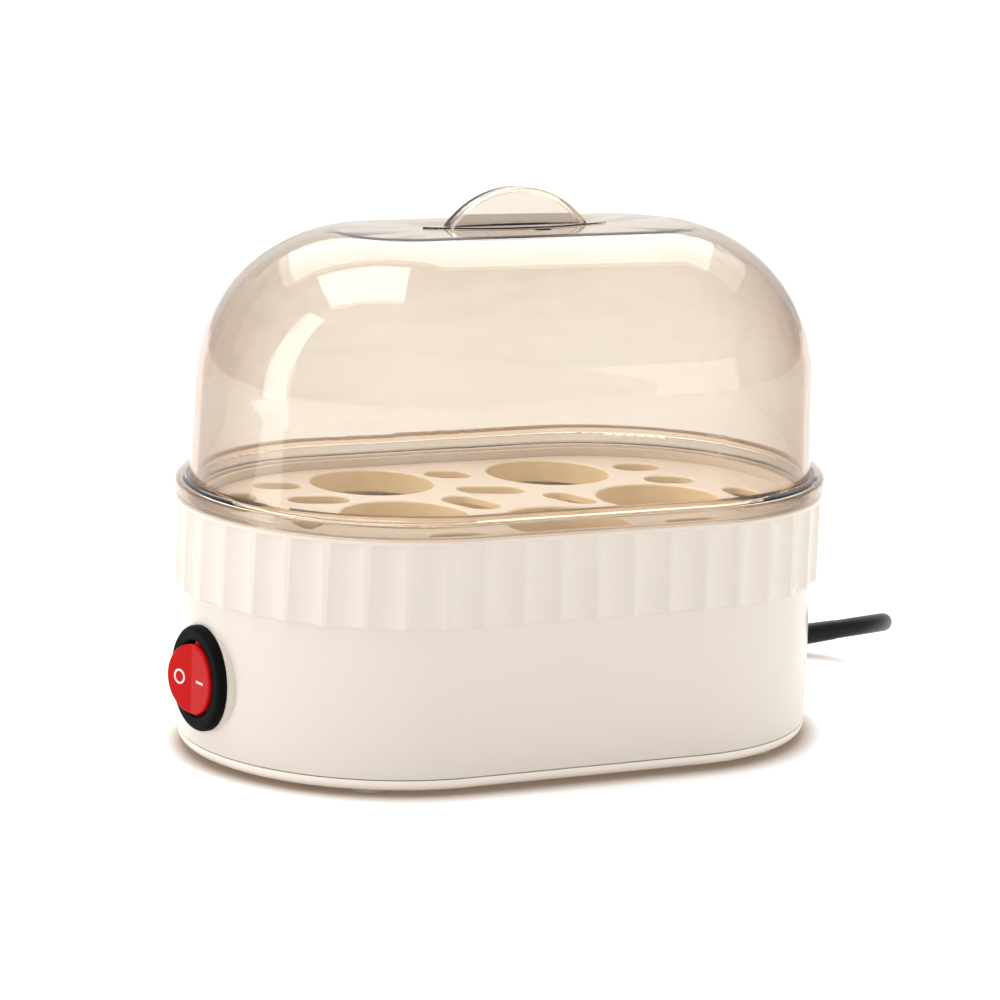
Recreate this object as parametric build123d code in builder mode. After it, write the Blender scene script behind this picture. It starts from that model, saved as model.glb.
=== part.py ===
from build123d import *
import math
import os

os.makedirs("parts", exist_ok=True)

# ------------------------------------------------------------------
# Electric egg cooker, millimetres.
# X is the long axis: rocker switch at -X, mains cord at +X, front at -Y.
# Z is up and z = 0 is the table under the feet.
# ------------------------------------------------------------------

# plan of the appliance: a stadium, given by how far each outline is inset
LENGTH = 180.0          # over the lid flange
WIDTH = 112.0           # over the lid flange
HALF = (LENGTH - WIDTH) / 2      # half of the straight run

# base housing
Z_COVER = 4.5           # seam between the bottom cover and the housing
Z_BAND = 43.8           # lower edge of the fluted band
Z_TOP = 66.6            # top face of the base
WALL_IN = 2.4           # inset of the plain lower wall
BAND_IN = 0.6           # inset of the flute ridges
CAVITY_IN = 4.8         # inset of the inner wall
LEDGE_IN = 11.5         # inset of the ledge opening
LEDGE_Z = 54.5          # top of the ledge that carries the pan
LEDGE_T = 2.2
FLUTES = 46
FLUTE_R = 10.8
FLUTE_LOW = 1.30        # flute depth at the lower edge of the band
FLUTE_HIGH = 1.05       # flute depth at its upper end, under the plain lip
Z_FLUTE = 65.3

# bottom cover, feet and their screws
Z_BOTTOM = 1.3
COVER_T = 2.2
BOSS_X, BOSS_Y, BOSS_R = 68.0, 33.0, 4.2
FOOT_X, FOOT_Y, FOOT_R = 56.0, 40.0, 5.6

# pan and heater
PAN_RIM_IN = 6.4
PAN_IN = 13.5
PAN_Z = 45.0
SHEET = 0.8
GASKET_T = 1.0
SPREAD_T = 3.0
TUBE_R = 3.3
LEG_Y = 14.0
TIE_Z = 27.5            # underside of the two pan bosses
TIE_Y = 48.1

# egg tray
TRAY_IN = 6.3
TRAY_WALL = 1.6
TRAY_FOOT_Z = 56.4
TRAY_RIM_Z = 66.7       # the rim ends level with the base
TRAY_Z = 64.5           # top face of the tray plate
TRAY_T = 2.0
TRAY_LEDGE = 1.6        # width of the ledge in the rim that carries the plate
EGG_R = 16.8
EGG_COLLAR = 1.4
EGG_DEPTH = 6.0
EGG_HOLES = [(-25.5, 28.0), (27.0, 27.5), (-34.5, -11.5), (41.0, -10.5), (3.5, -29.5)]

# lid
LID_FLANGE_Z = 66.9
LID_FLANGE_TOP = 72.4
LID_IN = 3.8            # inset of the dome where it leaves the flange
LID_T = 2.0
LID_SKIRT = 1.7         # thickness of the flange's outer skirt
LID_GROOVE = 3.6        # depth of the groove under the flange
LID_DRAFT = 1.9
LID_SHOULDER = 42.0
LID_CROWN = 138.2       # height that the shoulder would reach
LID_FLAT = 137.3        # height of the flat top
LID_SOFT = 14.0         # radius that softens the edge of the flat top

# handle fin on the lid
FIN_X = 0.5
FIN_HALF = 20.5
FIN_H = 10.4
FIN_T = 4.4
PAD_HALF = 27.0
PAD_W = 5.6
PAD_T = 0.4
FIN_WALL = 1.4          # wall of the hollow fin
FIN_R = (FIN_HALF ** 2 + FIN_H ** 2) / (2 * FIN_H)
FIN_SLOT = math.sqrt((FIN_R - FIN_WALL) ** 2 - (FIN_R - FIN_H) ** 2)   # half the length of the slot under it

# round rocker switch on the -X end
SW_ANGLE = 5.0          # degrees that the switch sits towards the front
SW_Z = 23.0
SW_FACE = 53.7          # distance of its seat from the axis of the end arc
BEZEL_R = 13.8
BEZEL_T = 2.4
BARREL_R = 11.5
BARREL_D = 13.0
CAVITY_R = 9.8          # hole that the rocker works in
CAVITY_D = 10.6
ROCK_R = 9.1
ROCK_TILT = 9.0         # degrees, each side of level
PIVOT_D = 2.0           # depth of the pivot axis below the bezel face

# cord
CORD_D = 5.2
CORD_Z = 19.3           # height of its axis where it passes the end wall
CORD_RISE = (0.9979, 0.0, 0.0649)      # direction in which it leaves
CORD_BACK = (0.0196, 0.9532, -0.3016)  # direction in which its bend falls back to the table
CORD_BEND = 30.0        # half the width of that bend
BUSH_OUT = 4.0          # how far the bushing's stiff root stands out of the wall
SLEEVE_OUT = 17.5       # how far the tapered sleeve on the jacket reaches
SLEEVE_X = 93.96        # where that sleeve meets the bushing
KNEE = 12.0             # from the root's outer end in to where the cord levels out
LEAD_Z = CORD_Z + (BUSH_OUT - KNEE) * CORD_RISE[2] / CORD_RISE[0]
COIL_X, COIL_Y, COIL_R = 54.0, 97.8, 29.8
COIL_HALF, COIL_H = 5.7, 10.8


def slot(inset):
    return SlotOverall(LENGTH - 2 * inset, WIDTH - 2 * inset)


def slot_cut(inset):
    return SlotOverall(LENGTH - 2 * inset, WIDTH - 2 * inset, mode=Mode.SUBTRACT)


# ------------------------------------------------------------------
# base housing: lower wall, fluted band, pan ledge, screw bosses
# ------------------------------------------------------------------
ridge_r = WIDTH / 2 - BAND_IN
ridge_len = 4 * HALF + 2 * math.pi * ridge_r


def ridge_point(s):
    """Point and outward direction on the ridge line, s from the middle of the front."""
    side = 1 if s >= 0 else -1
    a = abs(s)
    if a < HALF:
        return side * a, -ridge_r, 0.0, -1.0
    a -= HALF
    if a < math.pi * ridge_r:
        t = a / ridge_r
        return (side * (HALF + ridge_r * math.sin(t)), -ridge_r * math.cos(t),
                side * math.sin(t), -math.cos(t))
    a -= math.pi * ridge_r
    return side * (HALF - a), ridge_r, 0.0, 1.0


# switch seat: a plane on the end wall, looking outwards
sw_a = math.radians(SW_ANGLE)
sw_dir = Vector(-math.cos(sw_a), -math.sin(sw_a), 0)
sw_face = Vector(-HALF, 0, SW_Z) + sw_dir * SW_FACE


def sw_plane(out):
    """Plane across the switch axis, out mm outside its seat, local Y up."""
    return Plane(origin=sw_face + sw_dir * out,
                 x_dir=Vector(math.sin(sw_a), -math.cos(sw_a), 0) * -1,
                 z_dir=sw_dir)


with BuildPart() as base_housing:
    with BuildSketch(Plane.XY.offset(Z_COVER)):
        slot(WALL_IN)
    extrude(amount=Z_BAND - Z_COVER)
    with BuildSketch(Plane.XY.offset(Z_BAND)):
        slot(BAND_IN)
    extrude(amount=Z_TOP - Z_BAND)
    # seat for the round switch
    with BuildSketch(sw_plane(-6.0)):
        Circle(BEZEL_R + 0.6)
    extrude(amount=6.0)
    # flutes, each a leaning round groove that fades out below the rim
    lean = math.degrees(math.atan((FLUTE_LOW - FLUTE_HIGH) / (Z_FLUTE - Z_BAND)))
    for k in range(FLUTES):
        s = (k + 0.5) * ridge_len / FLUTES
        if s > ridge_len / 2:
            s -= ridge_len
        px, py, nx, ny = ridge_point(s)
        low = Vector(px, py, Z_BAND - 1) + Vector(nx, ny, 0) * (FLUTE_R - FLUTE_LOW)
        run = Vector(0, 0, 1) + Vector(nx, ny, 0) * ((FLUTE_LOW - FLUTE_HIGH) / (Z_FLUTE - Z_BAND))
        with BuildSketch(Plane(origin=low, x_dir=Vector(-ny, nx, 0), z_dir=run)):
            Circle(FLUTE_R)
        extrude(amount=Z_FLUTE - Z_BAND + 1, mode=Mode.SUBTRACT)
    # inside: cavity below the ledge, opening through it, recess above it
    with BuildSketch(Plane.XY.offset(Z_COVER)):
        slot(CAVITY_IN)
    extrude(amount=LEDGE_Z - LEDGE_T - Z_COVER, mode=Mode.SUBTRACT)
    with BuildSketch(Plane.XY.offset(Z_COVER)):
        slot(LEDGE_IN)
    extrude(amount=Z_TOP - Z_COVER, mode=Mode.SUBTRACT)
    with BuildSketch(Plane.XY.offset(LEDGE_Z)):
        slot(CAVITY_IN)
    extrude(amount=Z_TOP - LEDGE_Z, mode=Mode.SUBTRACT)
    # bosses for the cover screws, against the wall
    with BuildSketch(Plane.XY.offset(Z_COVER + 1.2)):
        with GridLocations(2 * BOSS_X, 2 * BOSS_Y, 2, 2):
            Circle(BOSS_R)
    extrude(amount=18)
    # bosses under the ledge for the pan tie
    with BuildSketch(Plane.XY.offset(TIE_Z)):
        with GridLocations(1, 2 * TIE_Y, 1, 2):
            Circle(3.3)
    extrude(amount=LEDGE_Z - LEDGE_T - TIE_Z)
    with BuildSketch(Plane.XY.offset(Z_COVER)):
        with GridLocations(2 * BOSS_X, 2 * BOSS_Y, 2, 2):
            Circle(1.3)
    extrude(amount=15, mode=Mode.SUBTRACT)
    with BuildSketch(Plane.XY.offset(TIE_Z)):
        with GridLocations(1, 2 * TIE_Y, 1, 2):
            Circle(1.3)
    extrude(amount=12, mode=Mode.SUBTRACT)
    # switch hole
    with BuildSketch(sw_plane(1.0)):
        Circle(BARREL_R + 0.15)
    extrude(amount=-12, mode=Mode.SUBTRACT)
    # cord hole
    with BuildSketch(Plane(origin=(LENGTH / 2 - CAVITY_IN - 2, 0, CORD_Z), x_dir=(0, 1, 0), z_dir=(1, 0, 0))):
        Circle(4.6)
    extrude(amount=8, mode=Mode.SUBTRACT)
base_housing.part.label = "base_housing"
export_step(base_housing.part, "parts/base_housing.step")

# ------------------------------------------------------------------
# bottom cover with locating rib, screw counterbores, foot recesses
# ------------------------------------------------------------------
with BuildPart() as bottom_cover:
    with BuildSketch(Plane.XY.offset(Z_BOTTOM)):
        slot(WALL_IN + 0.1)
    extrude(amount=Z_COVER - 0.25 - Z_BOTTOM)
    fillet(bottom_cover.faces().sort_by(Axis.Z)[0].edges(), 2.3)
    with BuildSketch(Plane.XY.offset(Z_BOTTOM + COVER_T)):
        slot(CAVITY_IN + 1.9)
    extrude(amount=4, mode=Mode.SUBTRACT)
    with BuildSketch(Plane.XY.offset(Z_BOTTOM + COVER_T)):
        slot(CAVITY_IN + 0.3)
        slot_in = SlotOverall(LENGTH - 2 * (CAVITY_IN + 1.9), WIDTH - 2 * (CAVITY_IN + 1.9), mode=Mode.SUBTRACT)
        with GridLocations(2 * BOSS_X, 2 * BOSS_Y, 2, 2):
            Circle(BOSS_R + 0.6, mode=Mode.SUBTRACT)
    extrude(amount=3.4)
    # screw pillars that meet the housing bosses
    with BuildSketch(Plane.XY.offset(Z_BOTTOM + COVER_T - 0.2)):
        with GridLocations(2 * BOSS_X, 2 * BOSS_Y, 2, 2):
            Circle(BOSS_R - 0.5)
    extrude(amount=Z_COVER + 1.2 - Z_BOTTOM - COVER_T + 0.2)
    with BuildSketch(Plane.XY.offset(Z_BOTTOM - 1)):
        with GridLocations(2 * BOSS_X, 2 * BOSS_Y, 2, 2):
            Circle(1.7)
    extrude(amount=10, mode=Mode.SUBTRACT)
    with BuildSketch(Plane.XY.offset(Z_BOTTOM - 1)):
        with GridLocations(2 * BOSS_X, 2 * BOSS_Y, 2, 2):
            Circle(3.3)
    extrude(amount=2.8, mode=Mode.SUBTRACT)
    with BuildSketch(Plane.XY.offset(Z_BOTTOM - 1)):
        with GridLocations(2 * FOOT_X, 2 * FOOT_Y, 2, 2):
            Circle(FOOT_R)
    extrude(amount=1.6, mode=Mode.SUBTRACT)
    # vent slots under the heater
    with BuildSketch(Plane.XY.offset(Z_BOTTOM - 1)):
        with GridLocations(9, 1, 5, 1):
            SlotOverall(26, 2.4, rotation=90)
    extrude(amount=8, mode=Mode.SUBTRACT)
    # seat that carries the cord clamp
    with BuildSketch(Plane.XY.offset(Z_BOTTOM + COVER_T - 0.2)):
        with Locations((69, 0)):
            Rectangle(9, 24)
    extrude(amount=LEAD_Z - CORD_D / 2 - Z_BOTTOM - COVER_T + 0.2 + 0.6)
    with BuildSketch(Plane(origin=(60, 0, LEAD_Z), x_dir=(0, 1, 0), z_dir=(1, 0, 0))):
        Circle(CORD_D / 2)
    extrude(amount=20, mode=Mode.SUBTRACT)
    with BuildSketch(Plane.XY.offset(8)):
        with Locations((69, 8.5), (69, -8.5)):
            Circle(1.2)
    extrude(amount=20, mode=Mode.SUBTRACT)
bottom_cover.part.label = "bottom_cover"
export_step(bottom_cover.part, "parts/bottom_cover.step")

with BuildPart() as cover_screws:
    with BuildSketch(Plane.XY.offset(Z_BOTTOM + 0.2)):
        with GridLocations(2 * BOSS_X, 2 * BOSS_Y, 2, 2):
            Circle(2.9)
    extrude(amount=1.6)
    with BuildSketch(Plane.XY.offset(Z_BOTTOM + 0.2)):
        with GridLocations(2 * BOSS_X, 2 * BOSS_Y, 2, 2):
            Circle(1.25)
    extrude(amount=16)
    with BuildSketch(Plane.XY.offset(Z_BOTTOM + 0.2)):
        with GridLocations(2 * BOSS_X, 2 * BOSS_Y, 2, 2):
            Rectangle(3.6, 0.8)
            Rectangle(0.8, 3.6)
    extrude(amount=1.0, mode=Mode.SUBTRACT)
cover_screws.part.label = "cover_screws"
export_step(cover_screws.part, "parts/cover_screws.step")

for foot_name, fx, fy in (("foot_front_left", -1, -1), ("foot_front_right", 1, -1),
                          ("foot_rear_left", -1, 1), ("foot_rear_right", 1, 1)):
    with BuildPart() as foot:
        with BuildSketch():
            with Locations((fx * FOOT_X, fy * FOOT_Y)):
                Circle(FOOT_R - 0.1)
        extrude(amount=Z_BOTTOM + 0.6)
        fillet(foot.faces().sort_by(Axis.Z)[0].edges(), 0.5)
    foot.part.label = foot_name
    export_step(foot.part, "parts/" + foot_name + ".step")

# ------------------------------------------------------------------
# water pan, its gasket and everything that heats it
# ------------------------------------------------------------------
with BuildPart() as pan_gasket:
    with BuildSketch(Plane.XY.offset(LEDGE_Z)):
        slot(CAVITY_IN + 0.8)
        SlotOverall(LENGTH - 2 * LEDGE_IN, WIDTH - 2 * LEDGE_IN, mode=Mode.SUBTRACT)
    extrude(amount=GASKET_T)
pan_gasket.part.label = "pan_gasket"
export_step(pan_gasket.part, "parts/pan_gasket.step")

pan_rim_z = LEDGE_Z + GASKET_T
with BuildPart() as pan_inside:
    with BuildSketch(Plane.XY.offset(PAN_Z + SHEET)):
        slot(PAN_IN + SHEET)
    extrude(amount=pan_rim_z - PAN_Z + 3)
    fillet(pan_inside.faces().sort_by(Axis.Z)[0].edges(), 3.2)

with BuildPart() as heating_pan:
    with BuildSketch(Plane.XY.offset(PAN_Z)):
        slot(PAN_IN)
    extrude(amount=pan_rim_z + SHEET - PAN_Z)
    fillet(heating_pan.faces().sort_by(Axis.Z)[0].edges(), 4.0)
    with BuildSketch(Plane.XY.offset(pan_rim_z)):
        slot(PAN_RIM_IN)
    extrude(amount=SHEET)
    add(pan_inside.part, mode=Mode.SUBTRACT)
heating_pan.part.label = "heating_pan"
export_step(heating_pan.part, "parts/heating_pan.step")

with BuildPart() as heat_spreader:
    with BuildSketch(Plane.XY.offset(PAN_Z - SPREAD_T)):
        SlotOverall(118, 62)
    extrude(amount=SPREAD_T)
heat_spreader.part.label = "heat_spreader"
export_step(heat_spreader.part, "parts/heat_spreader.step")

spread_z = PAN_Z - SPREAD_T
tube_z = spread_z - TUBE_R - 0.05
with BuildPart() as heating_element:
    with BuildLine() as leg_line:
        l1 = Line((46, LEG_Y, tube_z), (-20, LEG_Y, tube_z))
        l2 = ThreePointArc((-20, LEG_Y, tube_z), (-20 - LEG_Y, 0, tube_z), (-20, -LEG_Y, tube_z))
        l3 = Line((-20, -LEG_Y, tube_z), (46, -LEG_Y, tube_z))
    with BuildSketch(Plane(origin=(46, LEG_Y, tube_z), x_dir=(0, 1, 0), z_dir=(-1, 0, 0))):
        Circle(TUBE_R)
    sweep(path=leg_line.wires()[0])
heating_element.part.label = "heating_element"
export_step(heating_element.part, "parts/heating_element.step")

with BuildPart() as element_terminals:
    with BuildSketch(Plane(origin=(46, 0, tube_z), x_dir=(0, 1, 0), z_dir=(1, 0, 0))):
        with Locations((LEG_Y, 0), (-LEG_Y, 0)):
            Circle(1.3)
    extrude(amount=7)
    with BuildSketch(Plane(origin=(53, 0, tube_z), x_dir=(0, 1, 0), z_dir=(1, 0, 0))):
        with Locations((LEG_Y, 0), (-LEG_Y, 0)):
            Rectangle(0.8, 6.3)
    extrude(amount=8)
element_terminals.part.label = "element_terminals"
export_step(element_terminals.part, "parts/element_terminals.step")

with BuildPart() as element_clamp:
    with BuildSketch(Plane.XY.offset(tube_z - TUBE_R - 1.25)):
        Rectangle(13, 58)
        with GridLocations(1, 24, 1, 3):
            Circle(2.15, mode=Mode.SUBTRACT)
    extrude(amount=1.2)
element_clamp.part.label = "element_clamp"
export_step(element_clamp.part, "parts/element_clamp.step")
clamp_z = tube_z - TUBE_R - 1.25

with BuildPart() as spreader_studs:
    with BuildSketch(Plane.XY.offset(clamp_z - 4.6)):
        with Locations((0, 24), (0, -24)):
            Circle(2.0)
    extrude(amount=spread_z - clamp_z + 4.6)
    with BuildSketch(Plane.XY.offset(TIE_Z - 5.6)):
        Circle(2.0)
    extrude(amount=spread_z - TIE_Z + 5.6)
spreader_studs.part.label = "spreader_studs"
export_step(spreader_studs.part, "parts/spreader_studs.step")

with BuildPart() as stud_nuts:
    with BuildSketch(Plane.XY.offset(clamp_z - 3.2)):
        with Locations((0, 24), (0, -24)):
            RegularPolygon(3.5, 6, major_radius=False)
            Circle(2.05, mode=Mode.SUBTRACT)
    extrude(amount=3.2)
stud_nuts.part.label = "stud_nuts"
export_step(stud_nuts.part, "parts/stud_nuts.step")

with BuildPart() as pan_tie:
    with BuildSketch(Plane.XY.offset(TIE_Z - 1.5)):
        SlotOverall(2 * TIE_Y + 5.6, 11, rotation=90)
        Circle(2.15, mode=Mode.SUBTRACT)
        with GridLocations(1, 2 * TIE_Y, 1, 2):
            Circle(1.6, mode=Mode.SUBTRACT)
    extrude(amount=1.5)
pan_tie.part.label = "pan_tie"
export_step(pan_tie.part, "parts/pan_tie.step")

with BuildPart() as tie_fasteners:
    with BuildSketch(Plane.XY.offset(TIE_Z - 1.5 - 3.2)):
        RegularPolygon(3.5, 6, major_radius=False)
        Circle(2.05, mode=Mode.SUBTRACT)
    extrude(amount=3.2)
    with BuildSketch(Plane.XY.offset(TIE_Z - 1.5 - 2.0)):
        with GridLocations(1, 2 * TIE_Y, 1, 2):
            Circle(2.9)
    extrude(amount=2.0)
    with BuildSketch(Plane.XY.offset(TIE_Z - 1.5)):
        with GridLocations(1, 2 * TIE_Y, 1, 2):
            Circle(1.25)
    extrude(amount=11)
tie_fasteners.part.label = "tie_fasteners"
export_step(tie_fasteners.part, "parts/tie_fasteners.step")

with BuildPart() as thermostat:
    with BuildSketch(Plane.XY.offset(spread_z - 9.6)):
        with Locations((30, 0)):
            Circle(7.4)
    extrude(amount=7.4)
    with BuildSketch(Plane.XY.offset(spread_z - 2.2)):
        with Locations((30, 0)):
            Circle(8.2)
            SlotOverall(30, 6)
        with Locations((18, 0), (42, 0)):
            Circle(1.6, mode=Mode.SUBTRACT)
    extrude(amount=2.2)
    with BuildSketch(Plane.XY.offset(spread_z - 16)):
        with Locations((26.5, 0), (33.5, 0)):
            Rectangle(0.8, 6.3)
    extrude(amount=6.6)
thermostat.part.label = "thermostat"
export_step(thermostat.part, "parts/thermostat.step")

with BuildPart() as thermostat_screws:
    with BuildSketch(Plane.XY.offset(spread_z - 4.2)):
        with Locations((18, 0), (42, 0)):
            Circle(2.7)
    extrude(amount=2.0)
    with BuildSketch(Plane.XY.offset(spread_z - 2.4)):
        with Locations((18, 0), (42, 0)):
            Circle(1.45)
    extrude(amount=2.4)
thermostat_screws.part.label = "thermostat_screws"
export_step(thermostat_screws.part, "parts/thermostat_screws.step")

with BuildPart() as thermal_fuse:
    with BuildSketch(Plane(origin=(-46, -6, spread_z - 2.2), x_dir=(1, 0, 0), z_dir=(0, 1, 0))):
        Circle(2.0)
    extrude(amount=12)
    with BuildSketch(Plane(origin=(-46, -14, spread_z - 2.2), x_dir=(1, 0, 0), z_dir=(0, 1, 0))):
        Circle(0.6)
    extrude(amount=28)
thermal_fuse.part.label = "thermal_fuse"
export_step(thermal_fuse.part, "parts/thermal_fuse.step")

with BuildPart() as fuse_clip:
    with BuildSketch(Plane(origin=(-46, 2.5, spread_z - 2.2), x_dir=(1, 0, 0), z_dir=(0, -1, 0))):
        Circle(2.9)
        with Locations((0, 2.2 - 0.4)):
            Rectangle(5.8, 0.8)
        with Locations((6, 2.2 - 0.4)):
            Rectangle(8, 0.8)
        Circle(2.05, mode=Mode.SUBTRACT)
        with Locations((0, 3.2)):
            Rectangle(12, 2, mode=Mode.SUBTRACT)
    extrude(amount=5)
fuse_clip.part.label = "fuse_clip"
export_step(fuse_clip.part, "parts/fuse_clip.step")

# ------------------------------------------------------------------
# egg tray: rim with a ledge, plate with egg holes and steam slots, seat collars
# ------------------------------------------------------------------
STEAM = [  # centre x, y, length, width, angle
    (-0.5, 32.3, 13, 10.0, -20), (1.6, 10.6, 18, 10.0, -19), (-10.9, -2.9, 18, 10.5, -74),
    (17.2, -4.9, 16.5, 8.8, -70), (-48.3, 11.8, 16.5, 10.0, -15), (55.3, 9.5, 14, 10.0, -20),
    (-52.0, 31.5, 13, 9.0, -20), (54.6, 27.6, 13, 10.0, -15), (-66.5, 20.5, 12, 7.0, 70),
    (-60.5, -12.0, 14, 8.0, 90), (66.5, -12.0, 14, 8.0, 90),
    (-31.0, -36.5, 16, 7.6, 0), (37.0, -36.5, 16, 7.6, 0),
]
with BuildPart() as tray_rim:
    with BuildSketch(Plane.XY.offset(TRAY_FOOT_Z)):
        slot(TRAY_IN)
        slot_cut(TRAY_IN + TRAY_WALL)
    extrude(amount=TRAY_RIM_Z - TRAY_FOOT_Z)
    with BuildSketch(Plane.XY.offset(TRAY_Z - TRAY_T - 1.4)):
        slot(TRAY_IN + 0.4)
        slot_cut(TRAY_IN + TRAY_WALL + TRAY_LEDGE)
        # room for the collar that comes nearest to the rim
        with Locations(EGG_HOLES[4]):
            Circle(EGG_R + EGG_COLLAR + 0.5, mode=Mode.SUBTRACT)
    extrude(amount=1.4)
tray_rim.part.label = "tray_rim"
export_step(tray_rim.part, "parts/tray_rim.step")

with BuildPart() as egg_seats:
    with BuildSketch(Plane.XY.offset(TRAY_Z - EGG_DEPTH)):
        with Locations(*EGG_HOLES):
            Circle(EGG_R + EGG_COLLAR)
        with Locations(*EGG_HOLES):
            Circle(EGG_R, mode=Mode.SUBTRACT)
    extrude(amount=EGG_DEPTH - TRAY_T)
egg_seats.part.label = "egg_seats"
export_step(egg_seats.part, "parts/egg_seats.step")

with BuildPart() as egg_tray:
    with BuildSketch(Plane.XY.offset(TRAY_Z - TRAY_T)):
        slot(TRAY_IN + TRAY_WALL + 0.1)
        with Locations(*EGG_HOLES):
            Circle(EGG_R, mode=Mode.SUBTRACT)
        for sx, sy, sl, sw, sa in STEAM:
            with Locations((sx, sy)):
                SlotOverall(sl, sw, rotation=sa, mode=Mode.SUBTRACT)
    extrude(amount=TRAY_T)
    # soften the edges that show on the plate
    plate_edges = egg_tray.edges().filter_by(
        lambda e: abs(e.bounding_box().min.Z - TRAY_Z) < 0.01 and abs(e.bounding_box().max.Z - TRAY_Z) < 0.01)
    round_edges = plate_edges.filter_by(GeomType.CIRCLE).filter_by(lambda e: e.radius < 20)
    short_edges = plate_edges.filter_by(GeomType.LINE).filter_by(lambda e: e.length < 14)
    fillet(round_edges + short_edges, 0.6)
egg_tray.part.label = "egg_tray"
export_step(egg_tray.part, "parts/egg_tray.step")


# ------------------------------------------------------------------
# lid: flange, dome and flat top in one clear shell
# ------------------------------------------------------------------
def dome(inset, low, shoulder, crown, flat):
    """Solid of the dome's shape, drafted, with a round shoulder and a flat top."""
    with BuildPart() as body:
        with BuildSketch(Plane.XY.offset(low)):
            slot(inset)
        extrude(amount=crown - low, taper=LID_DRAFT)
        fillet(body.faces().sort_by(Axis.Z)[-1].edges(), shoulder)
        split(bisect_by=Plane.XY.offset(flat), keep=Keep.BOTTOM)
        fillet(body.faces().sort_by(Axis.Z)[-1].edges(), LID_SOFT)
    return body.part


dome_outside = dome(LID_IN, LID_FLANGE_Z + 1.5, LID_SHOULDER, LID_CROWN, LID_FLAT)
dome_inside = dome(LID_IN + LID_T - 0.1, LID_FLANGE_Z - 1, LID_SHOULDER - LID_T,
                   LID_CROWN - LID_T, LID_FLAT - LID_T)

with BuildPart() as lid_shell:
    with BuildSketch(Plane.XY.offset(LID_FLANGE_Z)):
        slot(0)
    extrude(amount=LID_FLANGE_TOP - LID_FLANGE_Z)
    fillet(lid_shell.faces().sort_by(Axis.Z)[-1].edges(), 2.4)
    fillet(lid_shell.faces().sort_by(Axis.Z)[0].edges(), 1.0)
    add(dome_outside)
    add(dome_inside, mode=Mode.SUBTRACT)
    # the flange is a thin turned-down rim: open groove from below
    with BuildSketch(Plane.XY.offset(LID_FLANGE_Z - 1)):
        slot(LID_SKIRT)
        slot_cut(LID_IN)
    extrude(amount=LID_GROOVE + 1, mode=Mode.SUBTRACT)
    groove_top = LID_FLANGE_Z + LID_GROOVE
    fillet(lid_shell.edges().filter_by(
        lambda e: abs(e.bounding_box().min.Z - groove_top) < 0.01 and abs(e.bounding_box().max.Z - groove_top) < 0.01),
        0.7)
    # steam hole beside the handle, and the slot under the hollow fin
    with BuildSketch(Plane.XY.offset(LID_FLAT - 4)):
        with Locations((4.5, -8.2)):
            SlotOverall(5.0, 2.2)
        with Locations((FIN_X, 0)):
            Rectangle(2 * FIN_SLOT, FIN_T - 2 * FIN_WALL)
    extrude(amount=8, mode=Mode.SUBTRACT)
lid_shell.part.label = "lid_shell"
export_step(lid_shell.part, "parts/lid_shell.step")

# handle: lens-shaped pad with an upright half-moon fin, hollow from below
with BuildPart() as lid_handle:
    with BuildSketch(Plane.XZ.offset(-FIN_T / 2)):
        with Locations((FIN_X, LID_FLAT + FIN_H - FIN_R)):
            Circle(FIN_R)
        with Locations((FIN_X, LID_FLAT + 25)):
            Rectangle(100, 50, mode=Mode.INTERSECT)
    extrude(amount=FIN_T)
    fillet(lid_handle.edges().filter_by(GeomType.CIRCLE), 0.7)
    lens_r = (PAD_HALF ** 2 + PAD_W ** 2) / (2 * PAD_W)
    with BuildSketch(Plane.XY.offset(LID_FLAT)):
        with Locations((FIN_X, PAD_W - lens_r)):
            Circle(lens_r)
        with Locations((FIN_X, lens_r - PAD_W)):
            Circle(lens_r, mode=Mode.INTERSECT)
    extrude(amount=PAD_T)
    with BuildSketch(Plane.XZ.offset(-FIN_T / 2 + FIN_WALL)):
        with Locations((FIN_X, LID_FLAT + FIN_H - FIN_R)):
            Circle(FIN_R - FIN_WALL)
        with Locations((FIN_X, LID_FLAT + 24.5)):
            Rectangle(100, 50, mode=Mode.INTERSECT)
    extrude(amount=FIN_T - 2 * FIN_WALL, mode=Mode.SUBTRACT)
lid_handle.part.label = "lid_handle"
export_step(lid_handle.part, "parts/lid_handle.step")

# ------------------------------------------------------------------
# round rocker switch: housing with bezel, rocker, contacts, lamp
# ------------------------------------------------------------------
with BuildPart() as switch_housing:
    with BuildSketch(sw_plane(0)):
        Circle(BEZEL_R)
    extrude(amount=BEZEL_T)
    bezel_edges = switch_housing.edges().filter_by(GeomType.CIRCLE).sort_by(lambda e: (e.center() - sw_face).dot(sw_dir))
    fillet(bezel_edges[-1], 1.5)
    with BuildSketch(sw_plane(0.1)):
        Circle(BARREL_R)
    extrude(amount=-BARREL_D - 0.1)
    with BuildSketch(sw_plane(BEZEL_T + 1)):
        Circle(CAVITY_R)
    extrude(amount=-(BEZEL_T + 1 + CAVITY_D), mode=Mode.SUBTRACT)
    inner_edge = switch_housing.edges().filter_by(GeomType.CIRCLE).filter_by(lambda e: abs(e.radius - CAVITY_R) < 0.01)
    chamfer(inner_edge.sort_by(lambda e: (e.center() - sw_face).dot(sw_dir))[-1], 0.5)
    # sockets for the rocker's two pivot pins
    with BuildSketch(Plane(origin=sw_face + sw_dir * (BEZEL_T - PIVOT_D) + Vector(0, 0, -10.9),
                           x_dir=(1, 0, 0), z_dir=(0, 0, 1))):
        Circle(1.55)
    extrude(amount=21.8, mode=Mode.SUBTRACT)
switch_housing.part.label = "switch_housing"
export_step(switch_housing.part, "parts/switch_housing.step")

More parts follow.
